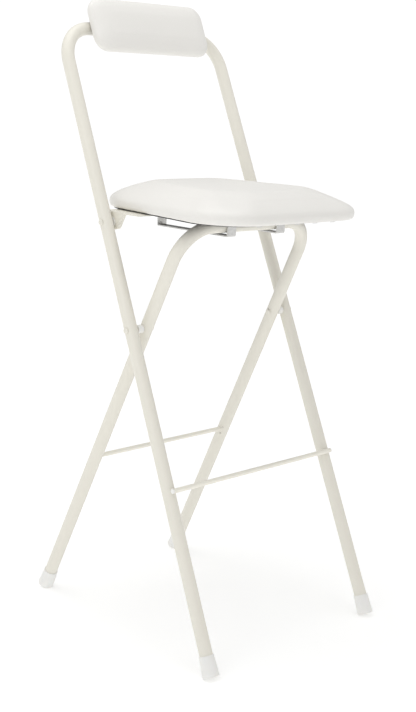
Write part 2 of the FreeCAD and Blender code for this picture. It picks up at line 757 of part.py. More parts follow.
def staples(label):
    """Wire staples around the seat's underside, through the cloth and the cover's hem into the board."""
    wire, width, leg = number("staple_wire"), number("staple_width"), number("staple_leg")
    inset, pitch = number("staple_inset"), number("staple_pitch")
    spots = [FreeCAD.Vector(number(x), number(y), 0) for x, y, radius in SEAT_CORNERS]
    crown = Part.makeBox(width, wire, wire, FreeCAD.Vector(-width / 2, -wire / 2, -wire))
    legs = [Part.makeBox(wire, wire, leg, FreeCAD.Vector(x, -wire / 2, 0))
            for x in (-width / 2, width / 2 - wire)]
    staple = crown.fuse(legs).removeSplitter()
    made = []
    for index, (here, there) in enumerate(zip(spots, spots[1:] + spots[:1])):
        along = (there - here).normalize()
        inward = UP.cross(along)
        start, finish = [number(SEAT_CORNERS[corner % 4][2]) for corner in (index, index + 1)]
        run = (there - here).Length - start - finish
        count = int(run / pitch) + 1
        for step in range(count):
            spot = here + along * (start + run * (step + 0.5) / count) + inward * inset
            if under_flange(spot):
                continue
            made.append(staple.copy())
            made[-1].Placement = FreeCAD.Placement(spot, FreeCAD.Rotation(FreeCAD.Vector(1, 0, 0), along))
    group = doc.addObject("Part::Feature", label)
    group.Label = label
    group.Shape = Part.makeCompound(made)
    group.Placement = layout.seat_plane
    Piece.made.append(group)


fill_sheet()
fill_layout()
floor = floor_block()
bent_tube("back_frame", "back_plane", "back_bar_rise", "front_foot_x", "front_foot_end", "back_splay",
          "back_bend_radius", ("back_pivot_rise", "back_hinge_rise"),
          ("rest_screw_spread / 2", "-rest_screw_spread / 2"))
bent_tube("rear_leg_frame", "rear_plane", "rear_bar_rise", "rear_foot_x", "rear_foot_end", "rear_splay",
          "rear_bend_radius", ("rear_pivot_rise",))
for name, side in (("left", -1), ("right", 1)):
    foot_cap(f"front_{name}_foot_cap", "back_plane", "front_foot_x", side, "front_foot_end", "back_splay")
    foot_cap(f"rear_{name}_foot_cap", "rear_plane", "rear_foot_x", side, "rear_foot_end", "rear_splay")
footrest()
crossbar()
rivets("frame_pivot_rivets", "pivot_line", "rear_pivot_x - tube_radius - side_play",
       "back_pivot_x + tube_radius")
rivets("seat_hinge_rivets", "hinge_line", "ear_x - side_play", "hinge_x + tube_radius")
rings("pivot_spacers", "pivot_line", "rear_pivot_x + tube_radius + side_play",
      "back_pivot_x - tube_radius - side_play", "spacer_dia")
rings("seat_hinge_washers", "hinge_line", "hinge_face_x - side_play - washer_thick",
      "hinge_face_x - side_play", "washer_dia")

for name, side in (("left", -1), ("right", 1)):
    guide_strap(f"{name}_guide_strap", side)
    hinge_bracket(f"{name}_hinge_bracket", side)

strap_spots = mirrored_spots("strap_spread / 2", ("strap_front_screw_y", "strap_back_screw_y"))
bracket_spots = mirrored_spots("bracket_screw_x", ("bracket_front_screw_y", "bracket_back_screw_y"))
rest_spots = mirrored_spots("rest_screw_spread / 2", ("rest_drop",))

seat = Cushion("seat", "seat_plane", SEAT_CORNERS, strap_spots + bracket_spots)
seat.board("seat_board")
seat.foam("seat_foam")
seat.cover("seat_cover")
seat.cloth("seat_underside_cloth")
insert_nuts("seat_insert_nuts", "seat_plane", seat.spots, "seat_board_thick", seat.top)
screws("guide_strap_screws", "seat_plane", strap_spots, "strap_thick", seat.top)
screws("hinge_bracket_screws", "seat_plane", bracket_spots, "bracket_thick", seat.top)
staples("seat_staples")

rest = Cushion("rest", "rest_plane", REST_CORNERS, rest_spots)
rest.board("backrest_board")
rest.foam("backrest_foam")
rest.cover("backrest_cover")
rest.cloth("backrest_back_cloth")
insert_nuts("backrest_insert_nuts", "rest_plane", rest.spots, "rest_board_thick", rest.top)
screws("backrest_screws", "rest_plane", rest_spots, "tube_dia", rest.top)

doc.recompute()
os.makedirs("parts", exist_ok=True)
for item in doc.Objects:
    if {"Invalid", "Error"} & set(item.State):
        raise RuntimeError(f"{item.Label} failed: {item.State}")
for piece in Piece.made:
    if piece.Shape.isNull() or not piece.Shape.isValid():
        raise RuntimeError(f"{piece.Label} has no valid shape")
    piece.Shape.exportStep(f"parts/{piece.Label}.step")
    box = piece.Shape.optimalBoundingBox(False)
    print(f"{piece.Label}: {len(piece.Shape.Solids)} solids, {piece.Shape.Volume / 1000:.2f} cm3,"
          f" x {box.XMin:.1f} to {box.XMax:.1f}, y {box.YMin:.1f} to {box.YMax:.1f},"
          f" z {box.ZMin:.1f} to {box.ZMax:.1f}")
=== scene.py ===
import json
import logging
import math
from collections.abc import Callable, Iterator, Sequence
from dataclasses import dataclass
from enum import Enum
from functools import cache
from itertools import product

import bpy
import numpy as np
from mathutils import Matrix, Vector


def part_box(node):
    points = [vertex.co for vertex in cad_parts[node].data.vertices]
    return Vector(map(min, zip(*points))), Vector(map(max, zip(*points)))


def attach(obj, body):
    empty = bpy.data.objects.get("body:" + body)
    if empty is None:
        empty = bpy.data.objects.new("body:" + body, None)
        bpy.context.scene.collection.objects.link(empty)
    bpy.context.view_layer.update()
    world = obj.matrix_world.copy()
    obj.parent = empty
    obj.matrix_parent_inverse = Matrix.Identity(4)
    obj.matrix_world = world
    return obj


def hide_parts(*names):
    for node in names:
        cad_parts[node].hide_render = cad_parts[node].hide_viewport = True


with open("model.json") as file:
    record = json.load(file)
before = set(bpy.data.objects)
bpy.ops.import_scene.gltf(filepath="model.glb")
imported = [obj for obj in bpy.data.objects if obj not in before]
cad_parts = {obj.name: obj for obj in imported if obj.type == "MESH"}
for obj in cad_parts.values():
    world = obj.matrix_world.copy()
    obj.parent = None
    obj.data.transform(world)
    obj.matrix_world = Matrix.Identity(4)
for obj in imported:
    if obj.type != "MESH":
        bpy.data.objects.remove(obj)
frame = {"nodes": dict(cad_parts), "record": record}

# A folding bar stool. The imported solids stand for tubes, rods, brackets, straps, caps and rivets, and get
# their finishes here. Pads, closing cloths, screws and welds are modelled here. Metres, front towards -Y.

LOG = logging.getLogger("folding_bar_stool")
MM = 0.001

Triple = tuple[float, float, float]
Inputs = dict[str | int, object]
Socket = bpy.types.NodeSocket
Face = bpy.types.MeshPolygon
Piece = bpy.types.Object


class Assembly(Enum):
    """The moving bodies of the stool."""

    BACK = "back_assembly"
    REAR = "rear_assembly"
    SEAT = "seat_assembly"


class Side(Enum):
    """The sides, as seen from the front."""

    LEFT = -1
    RIGHT = 1


class Surface(Enum):
    """The finishes, each with the slot of the record that it belongs to."""

    PAINT = "frame_paint"
    STRAP = "strap_steel"
    ZINC = "zinc_steel"
    CAP = "cap_plastic"
    LEATHERETTE = "seat_leatherette"
    CLOTH = "dark_cloth"
    PLYWOOD = "plywood"
    FOAM = "foam"


class Graph:
    """A node tree that is filled by short calls."""

    def __init__(self, tree: bpy.types.NodeTree) -> None:
        """Start from an empty tree."""
        self.tree = tree
        tree.nodes.clear()

    def feed(self, node: bpy.types.Node, inputs: Inputs) -> None:
        """Set a node's inputs, or link outputs to them.

        Args:
            node: The node.
            inputs: A value, or an output to link, for its inputs by name or number.
        """
        for key, value in inputs.items():
            if isinstance(value, Socket):
                self.tree.links.new(value, node.inputs[key])
            else:
                node.inputs[key].default_value = value

    def add(self, kind: str, inputs: Inputs | None = None, **settings: object) -> bpy.types.Node:
        """Add a node.

        Args:
            kind: The node's type, without the shader prefix.
            inputs: What is fed to it.
            settings: Properties of the node.

        Returns:
            The new node.
        """
        node = self.tree.nodes.new(kind if kind.startswith("Node") else f"ShaderNode{kind}")
        for name, value in settings.items():
            setattr(node, name, value)
        self.feed(node, inputs or {})
        return node

    def math(self, operation: str, first: object, second: object = 0.0) -> Socket:
        """Work out one number."""
        return self.add("Math", {0: first, 1: second}, operation=operation).outputs[0]

    def plus(self, first: object, second: object) -> Socket:
        """The sum of two numbers."""
        return self.math("ADD", first, second)

    def times(self, first: object, second: object) -> Socket:
        """The product of two numbers."""
        return self.math("MULTIPLY", first, second)

    def noise(self, vector: Socket, scale: object, detail: float,
              roughness: float = 0.5) -> bpy.types.NodeOutputs:
        """The outputs of a noise."""
        inputs = {"Vector": vector, "Scale": scale, "Detail": detail, "Roughness": roughness}
        return self.add("TexNoise", inputs).outputs

    def scaled(self, vector: Socket, factor: object) -> Socket:
        """A vector or a colour times a number."""
        return self.add("VectorMath", {0: vector, "Scale": factor}, operation="SCALE").outputs[0]

    def spread(self, value: Socket, low: float, high: float, to_low: float, to_high: float) -> Socket:
        """Map low to to_low and high to to_high, and clamp what lies outside."""
        inputs = {"Value": value, "From Min": low, "From Max": high, "To Min": to_low, "To Max": to_high}
        return self.add("MapRange", inputs).outputs["Result"]

    def blend(self, factor: object, first: object, second: object) -> Socket:
        """Mix two colours, with factor the share of the second."""
        return self.add("Mix", {0: factor, 6: first, 7: second}, data_type="RGBA").outputs[2]


class Effect:
    """A shader node group with named inputs and outputs, built once and placed in several finishes."""

    KINDS = {float: "NodeSocketFloat", tuple: "NodeSocketVector", list: "NodeSocketColor"}

    def __init__(self, title: str, inputs: dict[str, object], **outputs: str) -> None:
        """Make the group with its sockets.

        Args:
            title: The group's name.
            inputs: Each input's default beside its vector. A vector's is a tuple and a colour's a list.
            outputs: Each output's kind.
        """
        self.tree = bpy.data.node_groups.new(title, "ShaderNodeTree")
        for label, default in {"Vector": (0.0, 0.0, 0.0), **inputs}.items():
            kind = self.KINDS[type(default)]
            self.tree.interface.new_socket(label, in_out="INPUT", socket_type=kind).default_value = default
        for label, kind in outputs.items():
            self.tree.interface.new_socket(label, in_out="OUTPUT", socket_type=f"NodeSocket{kind}")
        self.graph = Graph(self.tree)
        self.start = self.graph.add("NodeGroupInput").outputs
        self.end = self.graph.add("NodeGroupOutput")

    def give(self, **sockets: Socket) -> None:
        """Link the group's outputs."""
        self.graph.feed(self.end, sockets)


@cache
def tone_drift() -> Effect:
    """A colour that drifts a little over the surface, with a smaller drift inside the larger one."""
    grey, closer, share = [0.8, 0.8, 0.8, 1.0], 9.0, 0.4
    effect = Effect("tone_drift", {"Color": grey, "Scale": 10.0, "Drift": 0.02}, Color="Color")
    graph, start = effect.graph, effect.start
    broad = graph.noise(start["Vector"], start["Scale"], detail=2.0)["Fac"]
    close = graph.noise(start["Vector"], graph.times(start["Scale"], closer), detail=3.0)["Fac"]
    both = graph.plus(broad, graph.times(close, share))
    swing = graph.times(graph.math("SUBTRACT", both, (1 + share) / 2), start["Drift"])
    level = graph.plus(graph.times(swing, 2.0), 1.0)
    effect.give(Color=graph.scaled(start["Color"], level))
    return effect


@cache
def fine_relief() -> Effect:
    """The soft unevenness of sprayed paint, moulded plastic and worn steel."""
    effect = Effect("fine_relief", {"Scale": 900.0}, Height="Float")
    graph, start = effect.graph, effect.start
    wider, share = 0.22, 0.6
    fine = graph.noise(start["Vector"], start["Scale"], detail=2.0)["Fac"]
    broad = graph.noise(start["Vector"], graph.times(start["Scale"], wider), detail=1.0)["Fac"]
    effect.give(Height=graph.plus(fine, graph.times(broad, share)))
    return effect


@cache
def drawn_streaks() -> Effect:
    """Streaks that run one way, as rolling or brushing leaves them."""
    effect = Effect("drawn_streaks", {"Stretch": (1.0, 1.0, 1.0)}, Mask="Float")
    graph, start = effect.graph, effect.start
    clear, full = 0.32, 0.68
    drawn = graph.add("VectorMath", {0: start["Vector"], 1: start["Stretch"]}, operation="MULTIPLY")
    noise = graph.noise(drawn.outputs[0], 1.0, detail=5.0, roughness=0.6)["Fac"]
    effect.give(Mask=graph.spread(noise, clear, full, 0.0, 1.0))
    return effect


@cache
def small_specks() -> Effect:
    """Scattered specks, such as the nibs in powder coat."""
    effect = Effect("small_specks", {"Scale": 200.0, "Size": 0.12}, Mask="Float")
    graph, start = effect.graph, effect.start
    empty_share = 0.72
    cells = graph.add("TexVoronoi", {"Vector": start["Vector"], "Scale": start["Scale"]}).outputs
    near = graph.math("LESS_THAN", cells["Distance"], start["Size"])
    draw = graph.add("SeparateColor", {"Color": cells["Color"]}).outputs[0]
    effect.give(Mask=graph.times(near, graph.math("GREATER_THAN", draw, empty_share)))
    return effect


@cache
def grain_creases() -> Effect:
    """Wandering cells, low at their edges and high inside: the grain of leatherette, and foam."""
    effect = Effect("grain_creases", {"Scale": 600.0}, Height="Float", Crease="Float")
    graph, start = effect.graph, effect.start
    crease_width, wander_reach = 0.22, 1.2 * MM
    wander = graph.noise(start["Vector"], graph.times(start["Scale"], 0.5), detail=1.0)["Color"]
    shift = graph.scaled(wander, wander_reach)
    bent = graph.add("VectorMath", {0: start["Vector"], 1: shift}, operation="ADD").outputs[0]
    cells = graph.add("TexVoronoi", {"Vector": bent, "Scale": start["Scale"]}, feature="DISTANCE_TO_EDGE")
    pebble = graph.spread(cells.outputs["Distance"], 0.0, crease_width, 0.0, 1.0)
    effect.give(Height=pebble, Crease=graph.math("SUBTRACT", 1.0, pebble))
    return effect


class Dressing:
    """One material that is being filled, with the colour and roughness of its finish."""

    # what the relief effect gives over nearly all of a surface
    RELIEF_RANGE = (0.4, 1.2)
    WHOLE = (0.0, 1.0)

    def __init__(self, finish: "Finish") -> None:
        """Make the material with an empty shader.

        Args:
            finish: The finish that it is for.
        """
        self.finish = finish
        self.material = bpy.data.materials.new(finish.title)
        self.material.use_nodes = True
        self.graph = Graph(self.material.node_tree)
        self.shader = self.graph.add("BsdfPrincipled")
        self.graph.add("OutputMaterial", {"Surface": self.shader.outputs["BSDF"]})
        self.spot = self.graph.add("TexCoord").outputs["Object"]

    def give(self, inputs: dict[str, object]) -> None:
        """Set the shader's inputs, or link outputs to them."""
        self.graph.feed(self.shader, inputs)

    def place(self, effect: Effect, **inputs: object) -> bpy.types.NodeOutputs:
        """Put a shared effect on the piece's own coordinates."""
        return self.graph.add("Group", {"Vector": self.spot, **inputs}, node_tree=effect.tree).outputs

    def tone(self, scale: float) -> Socket:
        """The finish's colour, drifting a little over the piece."""
        drift = self.finish.drift
        return self.place(tone_drift(), Color=self.shade(1.0), Scale=scale, Drift=drift)["Color"]

    def shade(self, share: float) -> tuple[float, float, float, float]:
        """The finish's colour times a share, with its alpha."""
        return (*(part * share for part in self.finish.color), 1.0)

    def mottled(self, scale: float, mask: Socket, strength: float, share: float) -> Socket:
        """The drifting colour, blended through a mask with a share of the finish's colour."""
        return self.graph.blend(self.graph.times(mask, strength), self.tone(scale), self.shade(share))

    def relief(self, scale: float) -> Socket:
        """The height of a fine relief."""
        return self.place(fine_relief(), Scale=scale)["Height"]

    def streaks(self, stretch: Triple) -> Socket:
        """The mask of streaks, drawn out where the stretch is small."""
        return self.place(drawn_streaks(), Stretch=stretch)["Mask"]

    def rough(self, value: Socket, span: tuple[float, float], low: float, high: float) -> Socket:
        """A roughness that lies low to high off the finish's own, as a value goes through its span."""
        return self.graph.spread(value, *span, self.finish.roughness + low, self.finish.roughness + high)

    def coat(self, color: Socket, roughness: Socket, height: Socket, strength: float, depth: float) -> None:
        """Give the shader its colour, its roughness and a relief, whose depth is in metres."""
        bump = self.graph.add("Bump", {"Strength": strength, "Distance": depth, "Height": height})
        self.give({"Base Color": color, "Roughness": roughness, "Normal": bump.outputs[0]})


@dataclass(frozen=True)
class Finish:
    """A surface finish, whose dress method fills one material."""

    title: str
    color: Triple
    roughness: float
    drift: float

    def dress(self, work: Dressing) -> None:
        """Fill the material.

        Args:
            work: The material as it is being filled.
        """
        raise NotImplementedError


@dataclass(frozen=True)
class PowderCoat(Finish):
    """Semi-gloss powder coat with a faint orange peel and a few nibs."""

    peel: float = 0.10

    def dress(self, work: Dressing) -> None:
        """Fill the material. Args are as in Finish.dress."""
        nibs = work.place(small_specks(), Scale=130.0, Size=0.05)["Mask"]
        rough = work.rough(work.relief(scale=60.0), work.RELIEF_RANGE, -0.05, 0.05)
        height = work.graph.plus(work.relief(scale=760.0), nibs)
        work.coat(work.tone(scale=7.0), rough, height, strength=self.peel, depth=0.12 * MM)


@dataclass(frozen=True)
class RolledSteel(Finish):
    """Galvanised strip with rolling streaks and faint spangle."""

    stretch: Triple = (900.0, 26.0, 900.0)
    dullest: float = 0.84

    def dress(self, work: Dressing) -> None:
        """Fill the material. Args are as in Finish.dress."""
        graph = work.graph
        work.give({"Metallic": 1.0})
        spangle = graph.add("TexVoronoi", {"Vector": work.spot, "Scale": 210.0}).outputs["Color"]
        streak = work.streaks(self.stretch)
        marks = graph.plus(streak, graph.add("SeparateColor", {"Color": spangle}).outputs[0])
        color = work.mottled(scale=22.0, mask=marks, strength=0.32, share=self.dullest)
        work.coat(color, work.rough(marks, (0.0, 2.0), -0.08, 0.12), streak, strength=0.12, depth=0.05 * MM)


@dataclass(frozen=True)
class BrightZinc(Finish):
    """Bright zinc on screws, nuts and staples, with fine turning marks and dull patches."""

    def dress(self, work: Dressing) -> None:
        """Fill the material. Args are as in Finish.dress."""
        work.give({"Metallic": 1.0})
        fine = work.relief(scale=2600.0)
        rough = work.rough(fine, work.RELIEF_RANGE, -0.06, 0.10)
        work.coat(work.tone(scale=160.0), rough, fine, strength=0.12, depth=0.03 * MM)


@dataclass(frozen=True)
class MilkyPlastic(Finish):
    """Milky moulded plastic that lets a little light in, with a fine spark-eroded skin and rub marks."""

    def dress(self, work: Dressing) -> None:
        """Fill the material. Args are as in Finish.dress."""
        work.give({"Subsurface Weight": 0.22, "Subsurface Radius": (1.0, 0.9, 0.8),
                   "Subsurface Scale": 4 * MM})
        rubs = work.streaks((260.0, 260.0, 60.0))
        height = work.graph.plus(work.relief(scale=1800.0), work.graph.times(rubs, 0.4))
        rough = work.rough(rubs, work.WHOLE, -0.05, 0.10)
        work.coat(work.tone(scale=40.0), rough, height, strength=0.10, depth=0.06 * MM)


@dataclass(frozen=True)
class Leatherette(Finish):
    """Coated cloth with a fine pebbled grain, duller in its creases and slightly darker there by painted
    shade.
    """

    grain: float = 0.16
    crease_painted_shade: float = 0.93

    def dress(self, work: Dressing) -> None:
        """Fill the material. Args are as in Finish.dress."""
        work.give({"Sheen Weight": 0.06, "Sheen Roughness": 0.45})
        work.give({"Coat Weight": 0.06, "Coat Roughness": 0.38})
        grain = work.place(grain_creases(), Scale=620.0)
        # painted shade: the colour darkens a little in the creases of the grain
        color = work.mottled(scale=5.0, mask=grain["Crease"], strength=0.35, share=self.crease_painted_shade)
        height = work.graph.plus(grain["Height"], work.graph.times(work.relief(scale=95.0), 1.6))
        rough = work.rough(grain["Crease"], work.WHOLE, 0.0, 0.12)
        work.coat(color, rough, height, strength=self.grain, depth=0.14 * MM)


@dataclass(frozen=True)
class SpunCloth(Finish):
    """Dark spun-bonded cloth: fibres that lie every way, pressed together at rows of small bond points."""

    stretches: tuple[Triple, Triple] = ((2600.0, 380.0, 900.0), (420.0, 2400.0, 900.0))
    bond_pitch: float = 1.6 * MM
    bond_level: float = 0.62
    palest: float = 2.2

    def dress(self, work: Dressing) -> None:
        """Fill the material. Args are as in Finish.dress."""
        graph = work.graph
        work.give({"Sheen Weight": 0.25, "Specular IOR Level": 0.25})
        fibres = graph.math("MAXIMUM", *[work.streaks(stretch) for stretch in self.stretches])
        axes = graph.add("SeparateXYZ", {"Vector": work.spot}).outputs
        turn = math.pi / self.bond_pitch
        rows = [graph.math("SINE", graph.times(graph.math(operation, axes[0], axes[1]), turn))
                for operation in ("ADD", "SUBTRACT")]
        bonds = graph.math("GREATER_THAN", graph.times(*rows), self.bond_level)
        color = work.mottled(scale=30.0, mask=fibres, strength=0.45, share=self.palest)
        work.coat(color, work.rough(bonds, work.WHOLE, 0.0, -0.25), graph.math("SUBTRACT", fibres, bonds),
                  strength=0.5, depth=0.12 * MM)


@dataclass(frozen=True)
class Plywood(Finish):
    """Raw plywood: fibres along the sheet, and plies that change from light to dark across its edge."""

    ply: float = 1.5 * MM
    darkest: float = 0.66

    def dress(self, work: Dressing) -> None:
        """Fill the material. Args are as in Finish.dress."""
        graph = work.graph
        fibre = work.streaks((14.0, 520.0, 520.0))
        level = graph.add("SeparateXYZ", {"Vector": work.spot}).outputs[2]
        plies = graph.math("SINE", graph.times(level, math.pi / self.ply))
        shade = graph.plus(graph.times(fibre, 0.4), graph.spread(plies, -1.0, 1.0, 0.0, 0.35))
        work.coat(graph.blend(shade, work.tone(scale=18.0), work.shade(self.darkest)),
                  work.rough(fibre, work.WHOLE, -0.1, 0.1), fibre, strength=0.3, depth=0.1 * MM)


@dataclass(frozen=True)
class OpenFoam(Finish):
    """Open-celled foam, its cells darkened by painted shade."""

    cell_painted_shade: float = 0.6

    def dress(self, work: Dressing) -> None:
        """Fill the material. Args are as in Finish.dress."""
        work.give({"Subsurface Weight": 0.15, "Subsurface Scale": 3 * MM})
        cells = work.place(grain_creases(), Scale=1100.0)
        # painted shade: the colour darkens inside the open cells
        color = work.mottled(scale=25.0, mask=cells["Height"], strength=0.7, share=self.cell_painted_shade)
        rough = work.rough(cells["Crease"], work.WHOLE, 0.0, -0.1)
        work.coat(color, rough, cells["Crease"], strength=0.6, depth=0.3 * MM)


@dataclass(frozen=True)
class StudioFloor(Finish):
    """A pale matt floor that is lit enough to meet a pale wall without an edge."""

    glow_near: float = 0.24
    glow_far: float = 0.50
    near: float = 0.8
    far: float = 4.0

    def dress(self, work: Dressing) -> None:
        """Fill the material. Args are as in Finish.dress."""
        away = work.graph.add("VectorMath", {0: work.spot}, operation="LENGTH").outputs["Value"]
        glow = work.graph.spread(away, self.near, self.far, self.glow_near, self.glow_far)
        rough = work.rough(work.relief(scale=300.0), work.RELIEF_RANGE, -0.05, 0.05)
        work.give({"Specular IOR Level": 0.0, "Emission Strength": 1.0, "Emission Color": glow,
                   "Base Color": work.tone(scale=0.8), "Roughness": rough})


CREAM = (0.800, 0.775, 0.695)
FINISHES = {
    Surface.PAINT: PowderCoat("powder_coat", CREAM, 0.36, 0.012),
    Surface.STRAP: RolledSteel("galvanised_strip", (0.68, 0.675, 0.66), 0.38, 0.05),
    Surface.ZINC: BrightZinc("bright_zinc", (0.66, 0.66, 0.65), 0.30, 0.06),
    Surface.CAP: MilkyPlastic("milky_plastic", (0.875, 0.868, 0.84), 0.38, 0.012),
    Surface.LEATHERETTE: Leatherette("leatherette", (0.835, 0.820, 0.785), 0.44, 0.010),
    Surface.CLOTH: SpunCloth("spun_cloth", (0.030, 0.029, 0.030), 0.85, 0.10),
    Surface.PLYWOOD: Plywood("plywood", (0.62, 0.47, 0.30), 0.70, 0.08),
    Surface.FOAM: OpenFoam("open_foam", (0.82, 0.76, 0.55), 0.90, 0.04),
}
# painted light: the rods take the frame's cream made 12 per cent lighter, standing in for the brighter light
# that the thin rods catch; their real paint is the frame's
ROD_PAINT_WITH_PAINTED_LIGHT = PowderCoat("powder_coat_with_painted_light_on_rods", tuple(part * 1.12 for part in CREAM), 0.36, 0.012)
RODS = ("front_footrest", "rear_crossbar")
WELD_PAINT = PowderCoat("powder_coat_on_welds", tuple(part * 0.97 for part in CREAM), 0.44, 0.05, peel=0.22)
# painted shadow: near-black paint for the weld pits, standing in for the shadow in the gaps at the weld's toe
PIT_PAINTED_SHADOW = PowderCoat("pit_painted_shadow", (0.10, 0.095, 0.085), 0.70, 0.10)
FLOOR_FINISH = StudioFloor("studio_floor", (0.93, 0.93, 0.925), 0.9, 0.004)


@cache
def material_of(finish: Finish) -> bpy.types.Material:
    """The material of a finish, built when it is first asked for.

    Args:
        finish: The finish.

    Returns:
        The material.
    """
    work = Dressing(finish)
    finish.dress(work)
    return work.material


class Bench:
    """Steps of modelling with operators, each on the active object."""

    # how far along Z a face's normal reaches when the face counts as level
    LEVEL = 0.9

    @staticmethod
    def pick(*pieces: Piece) -> None:
        """Select only these objects, the last one active."""
        bpy.ops.object.select_all(action="DESELECT")
        for piece in pieces:
            piece.select_set(True)
            bpy.context.view_layer.objects.active = piece

    @staticmethod
    def primitive(add: Callable[..., object], **settings: object) -> Piece:
        """Add a primitive and fix its place in its mesh.

        Args:
            add: The operator that adds it.
            settings: The operator's settings.

        Returns:
            The new object.
        """
        bpy.ops.object.select_all(action="DESELECT")
        add(**settings)
        bpy.ops.object.transform_apply(location=True, rotation=True, scale=True)
        return bpy.context.active_object

    @staticmethod
    def edit_faces(piece: Piece, wanted: Callable[[Face], bool],
                   *steps: Callable[[], object]) -> None:
        """Select faces and run steps on them in edit mode.

        Args:
            piece: The object.
            wanted: Whether a face is selected.
            steps: The operators to run, in order.
        """
        Bench.pick(piece)
        bpy.ops.object.mode_set(mode="EDIT")
        bpy.ops.mesh.select_mode(type="FACE")
        bpy.ops.mesh.select_all(action="DESELECT")
        bpy.ops.object.mode_set(mode="OBJECT")
        for face in piece.data.polygons:
            face.select = wanted(face)
        bpy.ops.object.mode_set(mode="EDIT")
        for step in steps:
            step()
        bpy.ops.object.mode_set(mode="OBJECT")

    @staticmethod
    def looks_up(face: Face) -> bool:
        """Whether a face looks up."""
        return face.normal.z > Bench.LEVEL

    @staticmethod
    def looks_down(face: Face) -> bool:
        """Whether a face looks down."""
        return face.normal.z < -Bench.LEVEL

    @staticmethod
    def inset(thickness: float, depth: float = 0.0) -> Callable[[], object]:
        """The step that insets the selected faces."""
        return lambda: bpy.ops.mesh.inset(thickness=thickness, depth=depth)

    @staticmethod
    def extrude(rise: float) -> Callable[[], object]:
        """The step that extrudes the selected faces upwards."""
        return lambda: bpy.ops.mesh.extrude_region_move(TRANSFORM_OT_translate={"value": (0, 0, rise)})

    @staticmethod
    def apply(piece: Piece, kind: str, **settings: object) -> None:
        """Add a modifier and apply it.

        Args:
            piece: The object.
            kind: The modifier's type.
            settings: Its settings.
        """
        Bench.pick(piece)
        modifier = piece.modifiers.new(kind.lower(), kind)
        for name, value in settings.items():
            setattr(modifier, name, value)
        bpy.ops.object.modifier_apply(modifier=modifier.name)

    @staticmethod
    def remove(piece: Piece) -> None:
        """Delete a piece."""
        Bench.pick(piece)
        bpy.ops.object.delete()

    @staticmethod
    def combine(piece: Piece, operation: str, tool: Piece) -> None:
        """Run a boolean operation with a tool, which is used up."""
        Bench.apply(piece, "BOOLEAN", operation=operation, object=tool, solver="EXACT")
        Bench.remove(tool)

    @staticmethod
    def join(pieces: Sequence[Piece]) -> Piece:
        """Join pieces into one.

        Args:
            pieces: The objects. They are used up.

        Returns:
            The joined object.
        """
        Bench.pick(*pieces)
        bpy.ops.object.join()
        return bpy.context.active_object

    @staticmethod
    def copies(piece: Piece, places: Sequence[Matrix]) -> Piece:
        """Copy a piece to several places and join the copies.

        Args:
            piece: The object that is modelled once. It is used up.
            places: Where the copies go.

        Returns:
            The joined object.
        """
        placed = []
        for place in places:
            Bench.pick(piece)
            bpy.ops.object.duplicate()
            copy = bpy.context.active_object
            copy.matrix_world = place
            bpy.ops.object.transform_apply(location=True, rotation=True, scale=True)
            placed.append(copy)
        Bench.remove(piece)
        return Bench.join(placed)

    @staticmethod
    def outward(piece: Piece) -> None:
        """Merge doubles and turn the faces outwards."""
        Bench.edit_faces(piece, lambda face: True, lambda: bpy.ops.mesh.remove_doubles(threshold=0.002 * MM),
                         lambda: bpy.ops.mesh.normals_make_consistent(inside=False))

    @staticmethod
    def smooth(piece: Piece, angle: float = 40.0) -> None:
        """Shade smooth across edges flatter than an angle in degrees."""
        Bench.pick(piece)
        bpy.ops.object.shade_smooth_by_angle(angle=math.radians(angle))


def read_points(mesh: bpy.types.Mesh) -> np.ndarray:
    """The vertices of a mesh, one row each."""
    flat = np.empty(len(mesh.vertices) * 3, dtype=np.float32)
    mesh.vertices.foreach_get("co", flat)
    return flat.reshape(-1, 3)


def write_points(mesh: bpy.types.Mesh, points: np.ndarray) -> None:
    """Put the vertices of a mesh at the rows of points."""
    mesh.vertices.foreach_set("co", points.astype(np.float32).ravel())
    mesh.update()


def evened(mesh: bpy.types.Mesh, shift: np.ndarray, rounds: int) -> np.ndarray:
    """Even out how the vertices of a mesh move, so that only the broad swelling stays.

    Args:
        mesh: The mesh.
        shift: One row for each vertex.
        rounds: How often each vertex takes half of its neighbours' movement.

    Returns:
        The evened rows.
    """
    ends = np.empty(len(mesh.edges) * 2, dtype=np.int32)
    mesh.edges.foreach_get("vertices", ends)
    first, second = ends.reshape(-1, 2).T
    count = np.maximum(np.bincount(ends, minlength=len(shift)), 1)[:, None]
    for _ in range(rounds):
        total = np.zeros_like(shift)
        np.add.at(total, first, shift[second])
        np.add.at(total, second, shift[first])
        shift = 0.5 * shift + 0.5 * total / count
    return shift


def settle(piece: Piece, name: str, body: Assembly, slot: Surface, finish: Finish | None = None) -> None:
    """Name a finished piece, dress it and hand it to its body.

    Args:
        piece: The object, with its place in its mesh.
        name: Its name.
        body: The body that it rides on.
        slot: The record's slot of its finish.
        finish: Its finish, if it isn't the slot's own.
    """
    piece.name = name
    piece.data.name = name
    piece.data.materials.clear()
    piece.data.materials.append(material_of(finish or FINISHES[slot]))
    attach(piece, body.value)
    LOG.info("%s: %d faces on %s", name, len(piece.data.polygons), body.value)


@dataclass(frozen=True)
class LegPlane:
    """The plane of a leg frame: rise runs up along it from the floor, and out stands square to it."""

    foot_y: float
    lean: float

    def matrix(self, x: float, rise: float, out: float) -> Matrix:
        """The place at x, rise and out, whose axes are across, up along the plane and out of it.

        Args:
            x: Distance to the right of the middle.
            rise: Distance up the plane.
            out: Distance towards the front, square to the plane.

        Returns:
            The place as a matrix.
        """
        sin, cos = math.sin(self.lean), math.cos(self.lean)
        turn = Matrix(((1, 0, 0), (0, sin, -cos), (0, cos, sin))).to_4x4()
        spot = Vector((x, self.foot_y + rise * sin - out * cos, rise * cos + out * sin))
        return Matrix.Translation(spot) @ turn


